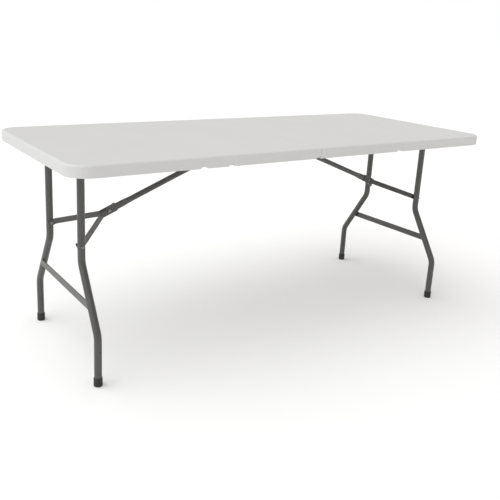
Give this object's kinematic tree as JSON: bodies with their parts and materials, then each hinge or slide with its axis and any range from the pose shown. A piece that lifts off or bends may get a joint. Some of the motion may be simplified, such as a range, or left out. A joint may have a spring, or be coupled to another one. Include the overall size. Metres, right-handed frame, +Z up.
{
  "type": "folding table",
  "caption": "Fold-in-half rectangular table with a moulded top and tubular legs that fold flat under it, each pair held by a V-brace and a knee-jointed strut.",
  "frame": {"origin": "on the floor under the middle of the top, with the table standing open", "axes": "+X along the length of the top, +Y across it from the handle side to the far side, +Z up"},
  "size_m": [1.8, 0.74, 0.74],
  "materials": {
    "top_plastic": "fine pebble-grained off-white polyethylene",
    "leg_enamel": "dark grey powder coat, satin",
    "foot_plastic": "black moulded plastic",
    "zinc_steel": "zinc-plated steel, satin",
    "handle_plastic": "dark grey moulded plastic"
  },
  "bodies": {
    "left_half": {"left_top": "top_plastic", "left_pivot_straps": "leg_enamel", "left_strap_screws": "zinc_steel", "left_strut_bracket": "leg_enamel", "left_bracket_screws": "zinc_steel", "left_strut_bolt": "zinc_steel", "left_hinge_leaves": "zinc_steel", "left_hinge_screws": "zinc_steel", "hinge_pins": "zinc_steel", "handle_clips": "handle_plastic"},
    "left_leg_frame": {"left_pivot_tube": "leg_enamel", "left_front_leg": "leg_enamel", "left_rear_leg": "leg_enamel", "left_crossbar": "leg_enamel", "left_front_foot": "foot_plastic", "left_rear_foot": "foot_plastic", "left_leg_rivets": "zinc_steel"},
    "left_strut": {"left_strut": "leg_enamel"},
    "left_brace": {"left_front_brace_arm": "leg_enamel", "left_rear_brace_arm": "leg_enamel", "left_knee_bracket": "leg_enamel", "left_knee_rivet": "zinc_steel", "left_brace_rivets": "zinc_steel"},
    "right_half": {"right_top": "top_plastic", "right_pivot_straps": "leg_enamel", "right_strap_screws": "zinc_steel", "right_strut_bracket": "leg_enamel", "right_bracket_screws": "zinc_steel", "right_strut_bolt": "zinc_steel", "right_hinge_leaves": "zinc_steel", "right_hinge_screws": "zinc_steel"},
    "right_leg_frame": {"right_pivot_tube": "leg_enamel", "right_front_leg": "leg_enamel", "right_rear_leg": "leg_enamel", "right_crossbar": "leg_enamel", "right_front_foot": "foot_plastic", "right_rear_foot": "foot_plastic", "right_leg_rivets": "zinc_steel"},
    "right_strut": {"right_strut": "leg_enamel"},
    "right_brace": {"right_front_brace_arm": "leg_enamel", "right_rear_brace_arm": "leg_enamel", "right_knee_bracket": "leg_enamel", "right_knee_rivet": "zinc_steel", "right_brace_rivets": "zinc_steel"},
    "carry_handle": {"carry_handle": "handle_plastic"}
  },
  "joints": [
    {"name": "table_fold", "type": "hinge", "parent": "left_half", "child": "right_half", "pos_m": [0, 0, 0.703], "axis": [0, 1, 0], "range_deg": [0, 90]},
    {"name": "left_leg_fold", "type": "hinge", "parent": "left_half", "child": "left_leg_frame", "pos_m": [-0.788, 0, 0.7174], "axis": [0, -1, 0], "range_deg": [0, 90]},
    {"name": "left_strut_swing", "type": "hinge", "parent": "left_half", "child": "left_strut", "pos_m": [-0.05, 0, 0.7226], "axis": [0, 1, 0], "range_deg": [0, 20.94]},
    {"name": "left_knee", "type": "hinge", "parent": "left_strut", "child": "left_brace", "pos_m": [-0.62868, 0, 0.49348], "axis": [0, -1, 0], "range_deg": [0, 180]},
    {"name": "right_leg_fold", "type": "hinge", "parent": "right_half", "child": "right_leg_frame", "pos_m": [0.788, 0, 0.7174], "axis": [0, 1, 0], "range_deg": [0, 90]},
    {"name": "right_strut_swing", "type": "hinge", "parent": "right_half", "child": "right_strut", "pos_m": [0.05, 0, 0.7226], "axis": [0, -1, 0], "range_deg": [0, 20.94]},
    {"name": "right_knee", "type": "hinge", "parent": "right_strut", "child": "right_brace", "pos_m": [0.62868, 0, 0.49348], "axis": [0, 1, 0], "range_deg": [0, 180]},
    {"name": "carry_handle_swing", "type": "hinge", "parent": "left_half", "child": "carry_handle", "pos_m": [-0.4207, -0.3516, 0.7058], "axis": [-1, 0, 0], "range_deg": [0, 175]}
  ],
  "couplings": [
    {"joint": "left_strut_swing", "follows": "left_leg_fold", "ratio": 0.23266},
    {"joint": "left_knee", "follows": "left_leg_fold", "ratio": 2},
    {"joint": "right_strut_swing", "follows": "right_leg_fold", "ratio": 0.23266},
    {"joint": "right_knee", "follows": "right_leg_fold", "ratio": 2}
  ]
}
